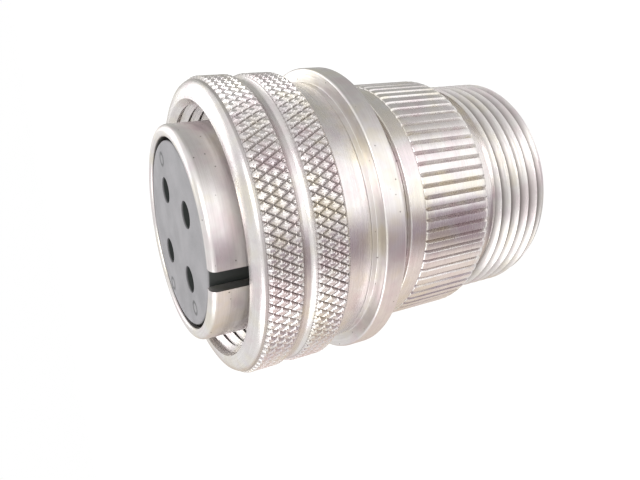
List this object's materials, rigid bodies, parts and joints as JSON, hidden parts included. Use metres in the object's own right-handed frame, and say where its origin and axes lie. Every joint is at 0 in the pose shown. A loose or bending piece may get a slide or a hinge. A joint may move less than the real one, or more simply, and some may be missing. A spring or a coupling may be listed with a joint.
{
  "type": "circular connector plug",
  "caption": "Straight circular plug: keyed barrel with socket contacts, knurled coupling nut, flange and fluted end bell with a rear accessory thread.",
  "frame": {"origin": "centre of the end bell's rear face, on the plug's axis", "axes": "+Z along the plug's axis towards the mating face, -Y towards the shell's key slot"},
  "size_m": [0.0373, 0.0372, 0.047],
  "materials": {
    "shell_plate": "bright silver-coloured plating on turned aluminium alloy, a little worn",
    "nut_plate": "bright plating on knurled aluminium alloy",
    "bell_plate": "bright plating on fluted aluminium alloy",
    "spring_steel": "plain stainless spring steel",
    "insert_face": "matt grey moulding",
    "insert_body": "matt dark moulding",
    "contact_plate": "plated copper alloy, turned",
    "grommet_rubber": "soft moulded rubber",
    "seal_rubber": "black moulded rubber"
  },
  "bodies": {
    "plug": {"plug_shell": "shell_plate", "nut_retaining_ring": "spring_steel", "interface_seal": "seal_rubber", "front_insert": "insert_face", "rear_insert": "insert_body", "insert_retaining_ring": "spring_steel", "contact_1": "contact_plate", "contact_2": "contact_plate", "contact_3": "contact_plate", "contact_4": "contact_plate", "contact_hood_1": "spring_steel", "contact_hood_2": "spring_steel", "contact_hood_3": "spring_steel", "contact_hood_4": "spring_steel", "grommet": "grommet_rubber", "end_bell_seal": "seal_rubber"},
    "thrust_washer": {"nut_washer": "spring_steel"},
    "nut": {"coupling_nut": "nut_plate"},
    "thrust_ferrule": {"ferrule": "shell_plate"},
    "bell": {"end_bell": "bell_plate"}
  },
  "joints": [
    {"name": "nut_float", "type": "slide", "parent": "plug", "child": "thrust_washer", "axis": [0, 0, 1], "range_m": [0, 0.0006]},
    {"name": "nut_spin", "type": "hinge", "parent": "thrust_washer", "child": "nut", "pos_m": [0, 0, 0.0366], "axis": [0, 0, 1], "continuous": true},
    {"name": "bell_travel", "type": "slide", "parent": "plug", "child": "thrust_ferrule", "axis": [0, 0, -1], "range_m": [0, 0.00705]},
    {"name": "bell_unscrew", "type": "hinge", "parent": "thrust_ferrule", "child": "bell", "pos_m": [0, 0, 0.01175], "axis": [0, 0, -1], "range_deg": [0, 1800]}
  ],
  "couplings": [
    {"joint": "bell_unscrew", "follows": "bell_travel", "rad_per_m": 4452.9}
  ]
}
